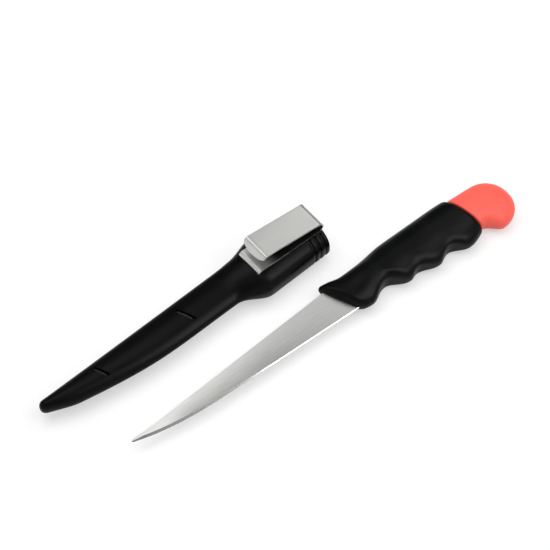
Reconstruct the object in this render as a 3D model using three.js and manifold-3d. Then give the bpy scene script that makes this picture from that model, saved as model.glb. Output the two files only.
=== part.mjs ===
// A float-handled sashimi knife lying drawn beside its belt-clip sheath.
// Millimetres, +Z up. Both lie flat: +X runs from the points to the butt, +Y to the spine side.
// Knife and sheath are each drawn about the handle's axis, so that a knife pushed home
// shares the sheath's own coordinates: X = 0 is the heel of the edge, Z = 0 the blade's mid-plane.
import * as THREE from 'three';
import { LoftGeometry } from 'three/addons/geometries/LoftGeometry.js';
import { mergeVertices } from 'three/addons/utils/BufferGeometryUtils.js';
import Module from 'manifold-3d';

const wasm = await Module();
wasm.setup();

// Clearances
const mouldGap = 0.3; // round the tang, the float's spigot and the rivets
const seatGap = 0.1; // under a flat piece that lies on its seat
const guideGap = 0.35; // between the handle and the sheath's throat

// Blade
const bladeLength = 150; // heel to point
const bladeThickness = 1.6; // at the spine, in the handle
const pointThickness = 0.9; // at the spine, by the point
const shoulderThickness = 0.8; // where the bevel starts
const edgeThickness = 0.16;
const spineAtHeel = 8.7; // height of the straight spine over the axis
const spineAtPoint = -9.0; // where that straight line would end
const pointSweep = 0.9; // how far the point turns up from it
const pointSweepLength = 32;
const pointSweepPower = 3;
const edgeAtHeel = -12.1; // height of the straight edge over the axis
const edgeAtPoint = -16.5; // where that straight line would end
const bellyLength = 62; // stretch over which the edge curves up to the point
const bellyPower = 2.7;
const pointWidth = 1.4;
const pointRounding = 1.0;
const bevelAtHeel = 1.5;
const bevelAtPoint = 2.1;
const bevelShare = 0.5; // of the blade's height, the most that a bevel takes

// Tang, moulded into the handle and locked by posts through its holes
const bladeInset = 4; // of the full-height blade behind the handle's front face
const tangTop = 5;
const tangBottom = -5;
const tangEnd = 56;
const tangHoleRadius = 2.2;
const tangHoleXs = [12, 42];

// Handle
const handleThickness = 16;
const handleNose = 12; // thickness at the front face
const handleNoseLength = 26; // stretch over which it thickens
const handleFront = -7.6; // on the axis
const handleRear = 86.5; // on the axis
const frontSlant = 0.543; // run of the front face along X for each mm of Y
const rearSlant = 0.25;
const handleSquareness = 2.2;
const frontRounding = 3.6;
const rearRounding = 2.4;
const frontCover = 1.7; // of handle below the blade's edge, at the front face
const guardCover = 2.4; // and at the guard's crest
const spineSide = [
  [-13, 11.7],
  [-7, 11.3],
  [1, 9.8],
  [12, 10.5],
  [32, 14.0],
  [55, 15.7],
  [78, 17.1],
  [92, 16.9],
];
// Each place has its height and the depth to which its finger hollow pares the round section.
const fingerSide = [
  [0, edgeAtHeel - frontCover, 0],
  [7, edgeAtHeel - guardCover, 0],
  [22, -8.0, 1.6],
  [34.8, -14.1, 0],
  [42.3, -11.4, 1.8],
  [54.6, -15.4, 0],
  [65.5, -10.5, 2.8],
  [76.8, -15.9, 0],
  [93, -10, 0],
];
const hollowEasing = 0.8; // of the edge where a finger hollow meets the round section

// Float
const floatLength = 30.8; // behind the handle's rear face, on the axis
const floatThickness = 15.4;
const floatStep = 1.7; // the float stands in from the handle's rear rim
const floatRadius = 16.2; // of the round butt
const floatDroop = 0.5; // of the butt's centre below the axis
const floatHang = 1.5; // the lower side swells later than the upper
const floatSquareness = 2.4;
const floatWall = 2.2;
const floatRounding = 1;
const socketHeight = 17;
const socketThickness = 10;
const socketMiddle = 1.5;
const socketDepth = 24;
const socketSquareness = 3;
const spigotLength = 14;

// Sheath
const sheathWall = 1.8; // round the blade
const neckWall = 2.0; // round the handle
const pocketThickness = 6.2;
const pocketPointThickness = 4.6;
const pointRoom = 19.3; // beyond the blade's point
const pocketTaperLength = 18; // by the point, where the pocket thins
const roomOverPoint = 1.9;
const roomOverSpine = 2.3; // at the pocket's mouth
const roomUnderHeel = 1.2; // at the pocket's mouth
const roomUnderBelly = 4.8;
const roomUnderPoint = 7.5;
const pocketEndHeight = 3.2; // of the pocket at its end
const pocketBelly = 108; // from the heel to the pocket's deepest place
const insertion = 18; // of the handle behind the heel, in the neck
const neckFlare = 5; // the neck's edge side is deeper at its root than at the throat
const neckRoot = -26; // where the edge side reaches the neck's full depth
const neckShoulder = 19; // stretch over which the edge side gets there
const spineShoulder = 20; // the same on the spine side, up to the handle's front corner
const faceRoot = -22; // where the faces reach the neck's full thickness
const faceShoulder = 25;
const neckSquareness = 2.7;
const pocketSquareness = 2.1;
const throatRounding = 0.6;
const sheathTipRounding = 3.2;
const pocketTipRounding = 0.8;
const throatGrooveDepth = 0.7;
const throatGrooveWidth = 1.3;
const throatGroovePitch = 3.9;
const throatGrooveCount = 3;
const throatLand = 2.4; // between the throat and the first groove
const slitWidth = 1.2;
const slitSlant = 0.53; // run along X for each mm of Y
// Each slit's place is a share of the blade's length from the heel.
const slits = [
  { along: 0.5, length: 13.5 },
  { along: 0.883, length: 10 },
];

// Belt clip, one bent strip of spring steel in two parts that flex about its bend
const sheet = 0.9;
const clipWidth = 17.8;
const clipFront = -29.5; // of the base leaf
const clipTurn = 4; // degrees by which the clip turns to lie along the neck
const clipOffset = 0.7; // of the clip's middle line from the neck's, to the spine side
const clipBendRadius = 3.6; // outside
const clipOpening = 6.5; // degrees by which the leaf rises from the bend to its lip
const leafLength = 38.3;
const lipRadius = 1.6; // outside
const lipTurn = 48; // degrees that the lip turns down from the leaf
const lipLength = 4.2;
const tongueDepth = 3; // of the lip's round end, along the lip
const hookRadius = 1.6; // outside
const hookLength = 0.5;
const seatDepth = 0.5; // of the flat that the clip lies on
const flexGap = 0.2; // between the clip's two parts
const rivetXs = [-15, 4];
const rivetShank = 1.5;
const rivetHead = 2.5;
const rivetTail = 2.5;
const rivetTailThickness = 0.6;

// Lie of the sheath beside the knife
const sheathBehind = 9; // the sheath lies this far towards the points
const sheathAside = 45;

// Fineness of the facets
const ringPoints = 24;
const stationStep = 4;
const roundSteps = 4;
const turnStep = 12; // degrees
const crossingPasses = 12;

// Booleans

function solidOf(geometry) {
  const bare = new THREE.BufferGeometry();
  bare.setAttribute('position', geometry.attributes.position);
  bare.setIndex(geometry.index);
  const merged = mergeVertices(bare, 1e-5);
  return new wasm.Manifold(new wasm.Mesh({
    numProp: 3,
    vertProperties: new Float32Array(merged.attributes.position.array),
    triVerts: new Uint32Array(merged.index.array),
  }));
}

function geometryOf(solid) {
  const mesh = solid.getMesh();
  const geometry = new THREE.BufferGeometry();
  geometry.setAttribute('position', new THREE.BufferAttribute(mesh.vertProperties, 3));
  geometry.setIndex(new THREE.BufferAttribute(mesh.triVerts, 1));
  geometry.computeVertexNormals();
  return geometry;
}

function carve(solid, cutters) {
  return cutters.reduce((left, cutter) => left.subtract(cutter), solid);
}

// Curves and sections

const mix = THREE.MathUtils.lerp;
const share = (from, to, x) => THREE.MathUtils.clamp((x - from) / (to - from), 0, 1);
const ease = (from, to, x) => THREE.MathUtils.smoothstep(x, from, to);

// A smooth height along X through a few points, level at every crest and hollow.
function curveThrough(points) {
  const rise = (i) => (points[i + 1][1] - points[i][1]) / (points[i + 1][0] - points[i][0]);
  const last = points.length - 1;
  const slopes = points.map((point, i) => {
    if (i === 0) return rise(0);
    if (i === last) return rise(last - 1);
    const product = rise(i - 1) * rise(i);
    return product <= 0 ? 0 : (2 * product) / (rise(i - 1) + rise(i));
  });
  return (x) => {
    const held = THREE.MathUtils.clamp(x, points[0][0], points[last][0]);
    const found = points.findIndex((point, i) => i > 0 && held <= point[0]);
    const i = found - 1;
    const span = points[found][0] - points[i][0];
    const t = (held - points[i][0]) / span;
    const bend = t * t * (3 - 2 * t);
    const leave = t * (1 - t) * (1 - t) * span * slopes[i];
    const arrive = t * t * (1 - t) * span * slopes[found];
    return mix(points[i][1], points[found][1], bend) + leave - arrive;
  };
}

// Height at which an outline crosses a plane that leans along X.
function crossing(outline, station, slant) {
  let y = outline(station);
  for (let pass = 0; pass < crossingPasses; pass += 1) {
    y = outline(station - slant * y);
  }
  return y;
}

const squared = (value, squareness) => Math.sign(value) * Math.abs(value) ** (2 / squareness);

// A height held above a flat wall, with an eased edge where it meets the wall.
function heldAbove(wall, easing, y) {
  return (y + wall + Math.hypot(y - wall, easing)) / 2;
}

// One rounded section between two heights, on a plane that leans along X, with its flats level.
// Its lower side can be pared: the section then reaches deeper and is cut off flat at its bottom.
function roundedRing({ station, slant = 0, bottom, top, halfThickness, squareness, pared = 0 }) {
  const flat = squared(Math.cos(Math.PI / ringPoints), squareness);
  const middle = (top + bottom - pared) / 2;
  const halfHeight = (top - bottom + pared) / 2;
  const easing = Math.min(pared, hollowEasing);
  return Array.from({ length: ringPoints }, (unused, k) => {
    const angle = ((k + 0.5) / ringPoints) * 2 * Math.PI;
    const round = middle + (halfHeight * squared(Math.cos(angle), squareness)) / flat;
    const y = pared === 0 ? round : heldAbove(bottom, easing, round);
    const z = (halfThickness * squared(Math.sin(angle), squareness)) / flat;
    return new THREE.Vector3(station - slant * y, y, z);
  });
}

// Stations of a rounded-over end, from its face inwards. Each carries how far its section draws in.
function endStations(face, inwards, rounding) {
  if (rounding === 0) return [];
  return Array.from({ length: roundSteps }, (unused, k) => {
    const turn = (k / roundSteps) * (Math.PI / 2);
    return {
      x: face + inwards * rounding * (1 - Math.cos(turn)),
      inset: rounding * (1 - Math.sin(turn)),
    };
  });
}

// Stations from one end to the other, close together where the ends are rounded over.
function roundedStations(from, to, startRounding, endRounding) {
  const start = from + startRounding;
  const end = to - endRounding;
  const steps = Math.ceil((end - start) / stationStep);
  const straight = Array.from({ length: steps + 1 }, (unused, k) => ({
    x: mix(start, end, k / steps),
    inset: 0,
  }));
  return [
    ...endStations(from, 1, startRounding),
    ...straight,
    ...endStations(to, -1, endRounding).reverse(),
  ];
}

function loft(rings) {
  return solidOf(new LoftGeometry(rings, { closed: true, capStart: true, capEnd: true }));
}

function uprightCylinder(radius, height, x, y, z) {
  const geometry = new THREE.CylinderGeometry(radius, radius, height, ringPoints);
  geometry.rotateX(Math.PI / 2);
  geometry.translate(x, y, z);
  return solidOf(geometry);
}

// Blade

const alongBlade = (x) => -x / bladeLength;

function spineY(x) {
  const sweep = share(bladeLength - pointSweepLength, bladeLength, -x);
  return mix(spineAtHeel, spineAtPoint, alongBlade(x)) + pointSweep * sweep ** pointSweepPower;
}

function edgeY(x) {
  const belly = share(bladeLength - bellyLength, bladeLength, -x);
  const lift = spineY(-bladeLength) - pointWidth - edgeAtPoint;
  return mix(edgeAtHeel, edgeAtPoint, alongBlade(x)) + lift * belly ** bellyPower;
}

// The blade's six-cornered section: flat back, two flat-ground sides and two bevels.
function bladeRing(station, slant, spine, edge, narrowing = 1) {
  const along = share(0, 1, alongBlade(station));
  const middle = (spine + edge) / 2;
  const back = mix(bladeThickness, pointThickness, along) / 2;
  const shoulder = Math.min(shoulderThickness / 2, back);
  const bevel = Math.min(mix(bevelAtHeel, bevelAtPoint, along), bevelShare * (spine - edge));
  const corners = [
    [spine, -back],
    [spine, back],
    [edge + bevel, shoulder],
    [edge, edgeThickness / 2],
    [edge, -edgeThickness / 2],
    [edge + bevel, -shoulder],
  ];
  return corners.map(([height, z]) => {
    const y = mix(middle, height, narrowing);
    return new THREE.Vector3(station - slant * y, y, z);
  });
}

function slantedBladeRing(station) {
  return bladeRing(
    station,
    frontSlant,
    crossing(spineY, station, frontSlant),
    crossing(edgeY, station, frontSlant),
  );
}

// A slab's section with six corners, one for each corner of the blade's own section.
function slabRing(station, slant, top, bottom, half) {
  const ledge = bottom + bevelAtHeel;
  const corners = [
    [top, -half],
    [top, half],
    [ledge, half],
    [bottom, half],
    [bottom, -half],
    [ledge, -half],
  ];
  return corners.map(([y, z]) => new THREE.Vector3(station - slant * y, y, z));
}

// The blade's narrow tang. Grown by a clearance it is also its slot in the handle.
function tangRings(grow) {
  const half = bladeThickness / 2 + grow;
  return [
    slabRing(handleFront + bladeInset + grow, frontSlant, tangTop + grow, tangBottom - grow, half),
    slabRing(tangEnd + grow, 0, tangTop + grow, tangBottom - grow, half),
  ];
}

function tangCylinders(radius) {
  const middle = (tangTop + tangBottom) / 2;
  return tangHoleXs.map((x) => uprightCylinder(radius, handleThickness, x, middle, 0));
}

function makeBlade() {
  const rings = [];
  for (let k = 0; k < roundSteps; k += 1) {
    const turn = ((k + 0.5) / roundSteps) * (Math.PI / 2);
    const x = -bladeLength + pointRounding * (1 - Math.cos(turn));
    rings.push(bladeRing(x, 0, spineY(x), edgeY(x), Math.sin(turn)));
  }
  const start = -bladeLength + pointRounding;
  const end = handleFront - frontSlant * (spineAtHeel + bladeInset);
  const steps = Math.ceil((end - start) / stationStep);
  for (let k = 0; k <= steps; k += 1) {
    const x = mix(start, end, k / steps);
    rings.push(bladeRing(x, 0, spineY(x), edgeY(x)));
  }
  rings.push(slantedBladeRing(handleFront));
  rings.push(slantedBladeRing(handleFront + bladeInset));
  rings.push(...tangRings(0));
  return carve(loft(rings), tangCylinders(tangHoleRadius));
}

// Slot in the handle for the blade's root and tang, with the posts that lock the tang left standing.
function makeTangSlot() {
  const rootRing = (station) => slabRing(
    station,
    frontSlant,
    crossing(spineY, station, frontSlant) + mouldGap,
    crossing(edgeY, station, frontSlant) - mouldGap,
    bladeThickness / 2 + mouldGap,
  );
  const rings = [
    rootRing(handleFront - frontRounding),
    rootRing(handleFront + bladeInset + mouldGap),
    ...tangRings(mouldGap),
  ];
  return carve(loft(rings), tangCylinders(tangHoleRadius - mouldGap));
}

// Handle

const spineSideY = curveThrough(spineSide);
const fingerSideY = curveThrough(fingerSide.map(([x, height]) => [x, height]));
const paredDepth = curveThrough(fingerSide.map(([x, , pared]) => [x, pared]));

function handleHalfThickness(x) {
  return mix(handleNose, handleThickness, ease(handleFront, handleFront + handleNoseLength, x)) / 2;
}

function handleRing({ x, inset }) {
  const slant = mix(frontSlant, rearSlant, share(handleFront, handleRear, x));
  const bottom = crossing(fingerSideY, x, slant);
  return roundedRing({
    station: x,
    slant,
    bottom: bottom + inset,
    top: crossing(spineSideY, x, slant) - inset,
    halfThickness: handleHalfThickness(x) - inset,
    squareness: handleSquareness,
    pared: paredDepth(x - slant * bottom),
  });
}

// The float's socket and, drawn in by a clearance, its spigot.
function socketRings(from, to, drawnIn) {
  return [from, to].map((station) => roundedRing({
    station,
    slant: rearSlant,
    bottom: socketMiddle - socketHeight / 2 + drawnIn,
    top: socketMiddle + socketHeight / 2 - drawnIn,
    halfThickness: socketThickness / 2 - drawnIn,
    squareness: socketSquareness,
  }));
}

function makeHandle() {
  const stations = roundedStations(handleFront, handleRear, frontRounding, rearRounding);
  const body = loft(stations.map(handleRing));
  const socket = loft(socketRings(handleRear - socketDepth, handleRear + rearRounding, 0));
  return carve(body, [makeTangSlot(), socket]);
}

// Float

const floatFront = handleRear + mouldGap;
const floatEnd = handleRear + floatLength;
const floatCentre = floatEnd - floatRadius;

// Heights of the float along X: a root that follows the handle's rear rim, swelling to a round butt.
function floatHeights(x) {
  const rimTop = crossing(spineSideY, handleRear, rearSlant) - floatStep;
  const rimBottom = crossing(fingerSideY, handleRear, rearSlant) + floatStep;
  const swell = ease(floatFront, floatCentre, x);
  return {
    top: mix(rimTop, floatRadius - floatDroop, swell),
    bottom: mix(rimBottom, -floatRadius - floatDroop, swell ** floatHang),
  };
}

function floatRing(x, inset) {
  const { top, bottom } = floatHeights(x);
  return roundedRing({
    station: x,
    slant: mix(rearSlant, 0, share(floatFront, floatCentre, x)),
    bottom: bottom + inset,
    top: top - inset,
    halfThickness: floatThickness / 2 - inset,
    squareness: floatSquareness,
  });
}

// One ring of the round butt, at a turn from its widest place to its end.
function buttRing(turn, wall) {
  const reach = floatRadius - wall;
  return roundedRing({
    station: floatCentre + reach * Math.sin(turn),
    bottom: -floatDroop - reach * Math.cos(turn),
    top: -floatDroop + reach * Math.cos(turn),
    halfThickness: (floatThickness / 2 - wall) * Math.cos(turn),
    squareness: floatSquareness,
  });
}

// Rings of the float from its front to its butt, drawn in by a wall where they line the hollow.
function floatRings(wall, frontEdge) {
  const stations = roundedStations(floatFront + wall, floatCentre, frontEdge, 0);
  const rings = stations.map(({ x, inset }) => floatRing(x, inset + wall));
  const turns = 2 * roundSteps;
  for (let k = 1; k < turns; k += 1) {
    rings.push(buttRing((k / turns) * (Math.PI / 2), wall));
  }
  return rings;
}

function makeFloat() {
  const spigot = loft(socketRings(handleRear - spigotLength, floatFront + floatWall, mouldGap));
  const hollow = loft(floatRings(floatWall, 0));
  const bore = loft(socketRings(
    handleRear - spigotLength - floatWall,
    floatFront + 2 * floatWall,
    mouldGap + floatWall,
  ));
  return carve(loft(floatRings(0, floatRounding)).add(spigot), [hollow, bore]);
}

// Sheath

const pocketEnd = -bladeLength - pointRoom;
const pocketMouth = neckRoot - neckShoulder;
const throat = insertion;

const handleCorner = handleFront - frontSlant * spineSide[0][1];

// The pocket's spine side, a straight line along the blade.
function overBlade(x) {
  return mix(
    spineY(pocketMouth) + roomOverSpine,
    spineY(-bladeLength) + roomOverPoint,
    (pocketMouth - x) / (pocketMouth + bladeLength),
  );
}

const underBlade = curveThrough([
  [pocketEnd, overBlade(pocketEnd) - pocketEndHeight],
  [-bladeLength, edgeY(-bladeLength) - roomUnderPoint],
  [-pocketBelly, edgeY(-pocketBelly) - roomUnderBelly],
  [pocketMouth, edgeY(pocketMouth) - roomUnderHeel],
]);

function hollowTop(x) {
  const overHandle = mix(
    spineSideY(handleCorner),
    spineSideY(throat),
    share(handleCorner, throat, x),
  ) + guideGap;
  return mix(overBlade(x), overHandle, ease(handleCorner - spineShoulder, handleCorner, x));
}

function hollowBottom(x) {
  const flare = neckFlare * (1 - share(neckRoot, throat, x));
  const underHandle = edgeAtHeel - guardCover - guideGap - flare;
  return mix(underBlade(x), underHandle, ease(pocketMouth, neckRoot, x));
}

// The hollow that the knife slides into, with the knife home.
function hollowAt(x) {
  const neck = ease(faceRoot - faceShoulder, faceRoot, x);
  const thinning = share(pocketEnd, pocketEnd + pocketTaperLength, x);
  const pocketHalf = mix(pocketPointThickness, pocketThickness, thinning) / 2;
  return {
    top: hollowTop(x),
    bottom: hollowBottom(x),
    halfThickness: mix(pocketHalf, handleThickness / 2 + guideGap, neck),
    wall: mix(sheathWall, neckWall, neck),
    squareness: mix(pocketSquareness, neckSquareness, neck),
  };
}

function sheathRing(x, inset, walls) {
  const { top, bottom, halfThickness, wall, squareness } = hollowAt(x);
  const grow = walls * wall - inset;
  return roundedRing({
    station: x,
    bottom: bottom - grow,
    top: top + grow,
    halfThickness: halfThickness + grow,
    squareness,
  });
}

// Rings of the throat's grip grooves, from the neck to the throat's rim.
function grooveRings() {
  const rings = [];
  for (let k = throatGrooveCount - 1; k >= 0; k -= 1) {
    const rear = throat - throatLand - k * throatGroovePitch;
    const front = rear - throatGrooveWidth;
    rings.push([front, 0], [front, throatGrooveDepth], [rear, throatGrooveDepth], [rear, 0]);
  }
  return rings.map(([x, inset]) => sheathRing(x, inset, 1));
}

function makeSheathShell() {
  const grooved = throat - throatLand - (throatGrooveCount - 1) * throatGroovePitch - throatGrooveWidth;
  const plain = roundedStations(pocketEnd - sheathWall, grooved, sheathTipRounding, 0).slice(0, -1);
  const rim = [
    sheathRing(throat - throatRounding, 0, 1),
    sheathRing(throat, throatRounding, 1),
  ];
  const smooth = plain.map(({ x, inset }) => sheathRing(x, inset, 1));
  const outside = loft([...smooth, ...grooveRings(), ...rim]);
  const inner = roundedStations(pocketEnd, throat, pocketTipRounding, 0);
  const beyond = sheathRing(throat, 0, 0).map((point) => point.clone().setX(throat + neckWall));
  const hollow = loft([...inner.map(({ x, inset }) => sheathRing(x, inset, 0)), beyond]);
  return outside.subtract(hollow);
}

// A drain slit through both faces, with round ends.
function makeSlit({ along, length }) {
  const x = -along * bladeLength;
  const radius = slitWidth / 2;
  const reach = length / 2 - radius;
  const outline = new THREE.Shape();
  outline.absarc(reach, 0, radius, -Math.PI / 2, Math.PI / 2);
  outline.absarc(-reach, 0, radius, Math.PI / 2, (3 * Math.PI) / 2);
  const depth = 2 * handleThickness;
  const geometry = new THREE.ExtrudeGeometry(outline, {
    depth,
    bevelEnabled: false,
    curveSegments: roundSteps,
  });
  const { top, bottom } = hollowAt(x);
  geometry.rotateZ(Math.PI / 2 + Math.atan(slitSlant));
  geometry.translate(x, (top + bottom) / 2, -depth / 2);
  return solidOf(geometry);
}

// Belt clip

const neckTop = handleThickness / 2 + guideGap + neckWall;
const seatZ = neckTop - seatDepth;
const leafZ = seatZ + seatGap; // underside of the base leaf
const clipEnd = throat; // the bend stands flush with the throat
const bendX = clipEnd - clipBendRadius;
const bendZ = leafZ + clipBendRadius;
const clipPivot = (clipFront + clipEnd) / 2;
const clipMiddle = (hollowTop(clipPivot) + hollowBottom(clipPivot)) / 2 + clipOffset;

// Sets a shape that is drawn about the clip's middle line on the neck.
function placeOnNeck(geometry) {
  geometry.translate(-clipPivot, 0, 0);
  geometry.rotateZ(THREE.MathUtils.degToRad(clipTurn));
  geometry.translate(clipPivot, clipMiddle, 0);
  return solidOf(geometry);
}

// Points along an arc of the strip's middle line, in the XZ plane.
function arcPoints(centreX, centreZ, radius, fromDegrees, toDegrees) {
  const steps = Math.max(1, Math.round(Math.abs(toDegrees - fromDegrees) / turnStep));
  return Array.from({ length: steps + 1 }, (unused, k) => {
    const angle = THREE.MathUtils.degToRad(mix(fromDegrees, toDegrees, k / steps));
    return new THREE.Vector2(centreX + radius * Math.cos(angle), centreZ + radius * Math.sin(angle));
  });
}

// A strip of sheet that follows a middle line in the XZ plane, across the clip's width.
function stripAlong(line) {
  const side = (sign) => line.map((point, i) => {
    const before = line[Math.max(i - 1, 0)];
    const after = line[Math.min(i + 1, line.length - 1)];
    const along = after.clone().sub(before).normalize();
    return new THREE.Vector2(-along.y, along.x).multiplyScalar((sign * sheet) / 2).add(point);
  });
  const outline = new THREE.Shape([...side(-1), ...side(1).reverse()]);
  const geometry = new THREE.ExtrudeGeometry(outline, { depth: clipWidth, bevelEnabled: false });
  geometry.rotateX(Math.PI / 2);
  geometry.translate(0, clipWidth / 2, 0);
  return placeOnNeck(geometry);
}

const midBend = clipBendRadius - sheet / 2;
const splitTurn = THREE.MathUtils.radToDeg(flexGap / 2 / midBend);

// Base leaf: a hook let into the neck, the flat under the belt and the lower half of the bend.
function makeClipBase() {
  const midHook = hookRadius - sheet / 2;
  const hookX = clipFront + hookRadius;
  const hookZ = leafZ + sheet - hookRadius;
  const line = [
    new THREE.Vector2(hookX - midHook, hookZ - hookLength),
    ...arcPoints(hookX, hookZ, midHook, 180, 90),
    ...arcPoints(bendX, bendZ, midBend, -90, -splitTurn),
  ];
  return carve(stripAlong(line), rivetXs.map((x) => makeRivetSolid(x, mouldGap)));
}

// Room for the leaf, seen from above: straight along its sides and round at the end of its lip.
function leafRoom(tipX, depth) {
  const half = clipWidth / 2 + flexGap;
  const outline = new THREE.Shape();
  outline.moveTo(clipEnd + sheet, -half);
  outline.lineTo(clipEnd + sheet, half);
  outline.lineTo(tipX + depth, half);
  outline.absellipse(tipX + depth, 0, depth, half, Math.PI / 2, (3 * Math.PI) / 2);
  const room = new THREE.ExtrudeGeometry(outline, {
    depth: leafLength,
    bevelEnabled: false,
    curveSegments: 2 * roundSteps,
  });
  room.translate(0, 0, leafZ);
  return placeOnNeck(room);
}

// Upper leaf: the other half of the bend, the spring leaf and its turned-down lip.
function makeClipLeaf() {
  const leafTurn = 90 - clipOpening;
  const rise = THREE.MathUtils.degToRad(clipOpening);
  const bend = arcPoints(bendX, bendZ, midBend, splitTurn, leafTurn);
  const start = bend[bend.length - 1];
  const end = new THREE.Vector2(-Math.cos(rise), Math.sin(rise)).multiplyScalar(leafLength).add(start);
  const midLip = lipRadius - sheet / 2;
  const lipX = end.x - midLip * Math.sin(rise);
  const lipZ = end.y - midLip * Math.cos(rise);
  const lip = arcPoints(lipX, lipZ, midLip, leafTurn, leafTurn + lipTurn);
  const lipEnd = lip[lip.length - 1];
  const fall = THREE.MathUtils.degToRad(lipTurn - clipOpening);
  const tip = new THREE.Vector2(-Math.cos(fall), -Math.sin(fall)).multiplyScalar(lipLength).add(lipEnd);
  const room = leafRoom(tip.x, tongueDepth * Math.cos(fall));
  return stripAlong([...bend, ...lip, tip]).intersect(room);
}

// A countersunk rivet, flush with the base leaf and clinched in a recess inside the neck.
// Grown by a clearance it is also its hole.
function makeRivetSolid(x, grow) {
  const top = leafZ + sheet + grow;
  const foot = neckTop - neckWall + seatGap - grow;
  const tail = foot + rivetTailThickness + 2 * grow;
  const profile = [
    [0, foot],
    [rivetTail + grow, foot],
    [rivetTail + grow, tail],
    [rivetShank + grow, tail],
    [rivetShank + grow, leafZ],
    [rivetHead + grow, leafZ + sheet],
    [rivetHead + grow, top],
    [0, top],
  ];
  const points = profile.map(([radius, z]) => new THREE.Vector2(radius, z));
  const distinct = points.filter((point, i) => i === 0 || !point.equals(points[i - 1]));
  const geometry = new THREE.LatheGeometry(distinct, ringPoints);
  geometry.rotateX(Math.PI / 2);
  geometry.translate(x, 0, 0);
  return placeOnNeck(geometry);
}

// Flat on the neck under the clip, and the slot for the clip's hook.
function clipSeatCutters() {
  const width = clipWidth + 2 * mouldGap;
  const length = clipEnd - clipFront + mouldGap + neckWall;
  const flat = new THREE.BoxGeometry(length, width, neckTop);
  flat.translate(clipFront - mouldGap + length / 2, 0, seatZ + neckTop / 2);
  const hookDepth = hookRadius + hookLength - sheet + mouldGap;
  const slotLength = sheet + 2 * mouldGap + hookRadius;
  const slot = new THREE.BoxGeometry(slotLength, width, 2 * hookDepth);
  slot.translate(clipFront - mouldGap + slotLength / 2, 0, seatZ);
  return [placeOnNeck(flat), placeOnNeck(slot)];
}

function makeSheath() {
  const rivetHoles = rivetXs.map((x) => makeRivetSolid(x, mouldGap));
  return carve(makeSheathShell(), [...slits.map(makeSlit), ...clipSeatCutters(), ...rivetHoles]);
}

// Finishes

function finish(color, roughness, metalness) {
  return new THREE.MeshStandardMaterial({ color, roughness, metalness });
}

const satinSteel = () => finish(0xc4c4be, 0.35, 1);
const springSteel = () => finish(0xbdbeb8, 0.38, 1);
const blackGrip = () => finish(0x1c1e1d, 0.62, 0);
const blackSheath = () => finish(0x0e0f0e, 0.5, 0);
const coralFloat = () => finish(0xff665a, 0.55, 0);

function piece(name, solid, material) {
  const mesh = new THREE.Mesh(geometryOf(solid), material);
  mesh.name = name;
  return mesh;
}

// Assembly

const knife = new THREE.Group();
knife.add(piece('blade', makeBlade(), satinSteel()));
knife.add(piece('handle', makeHandle(), blackGrip()));
knife.add(piece('float_butt', makeFloat(), coralFloat()));
knife.position.z = handleThickness / 2;

const sheath = new THREE.Group();
sheath.add(piece('sheath_body', makeSheath(), blackSheath()));
sheath.add(piece('clip_base', makeClipBase(), springSteel()));
sheath.add(piece('clip_leaf', makeClipLeaf(), springSteel()));
rivetXs.forEach((x, i) => {
  sheath.add(piece(`clip_rivet_${i + 1}`, makeRivetSolid(x, 0), satinSteel()));
});
sheath.position.set(-sheathBehind, sheathAside, neckTop);

const pair = new THREE.Group();
pair.add(knife, sheath);
const box = new THREE.Box3().setFromObject(pair);
const middle = box.getCenter(new THREE.Vector3());
pair.position.set(-middle.x, -middle.y, -box.min.z);

const part = new THREE.Group();
part.add(pair);

export default part;
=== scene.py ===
# %% [markdown]
# # A float-handled knife beside its belt-clip sheath
#
# A slim knife lies drawn beside its black sheath on a white table. The imported solids already
# give every size and every joint. This lesson dresses them: smooth surfaces, a continuous
# spring clip and finishes that hold up close to the camera.
#
# The frame comes first, because every piece is placed in its coordinates.

# %% Load the frame
import math

import bmesh
import bpy
from mathutils import Matrix, Vector


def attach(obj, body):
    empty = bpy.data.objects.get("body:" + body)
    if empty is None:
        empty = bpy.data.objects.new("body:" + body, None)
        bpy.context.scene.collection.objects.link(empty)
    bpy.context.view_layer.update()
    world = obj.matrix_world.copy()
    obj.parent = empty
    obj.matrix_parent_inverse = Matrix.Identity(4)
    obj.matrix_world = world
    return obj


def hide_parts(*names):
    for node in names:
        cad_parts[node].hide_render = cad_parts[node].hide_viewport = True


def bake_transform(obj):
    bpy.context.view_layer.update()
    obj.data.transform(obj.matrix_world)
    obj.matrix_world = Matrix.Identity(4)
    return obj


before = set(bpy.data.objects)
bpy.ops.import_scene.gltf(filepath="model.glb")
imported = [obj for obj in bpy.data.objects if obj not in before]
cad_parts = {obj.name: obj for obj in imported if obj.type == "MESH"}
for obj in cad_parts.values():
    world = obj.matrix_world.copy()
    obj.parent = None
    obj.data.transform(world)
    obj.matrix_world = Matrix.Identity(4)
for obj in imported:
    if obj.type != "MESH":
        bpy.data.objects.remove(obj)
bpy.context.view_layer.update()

# %% [markdown]
# ## The camera
#
# The picture fits a long lens that looks down from the knife's edge side and from its point.
# A camera could be turned by hand until it fits. Here the direction is written as two angles
# and a distance, so the same numbers also say where each reflection goes.

# %% Camera
MM = 0.001
FRAME_PIXELS = 550
FOCAL_PIXELS = 1748
SENSOR_WIDTH = 36.0
LOOK_AT = Vector((8.356, 16.128, 0.0)) * MM
LOOK_AZIMUTH = math.radians(-35.5)
LOOK_ELEVATION = math.radians(57.0)
LOOK_DISTANCE = 1.0

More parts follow.
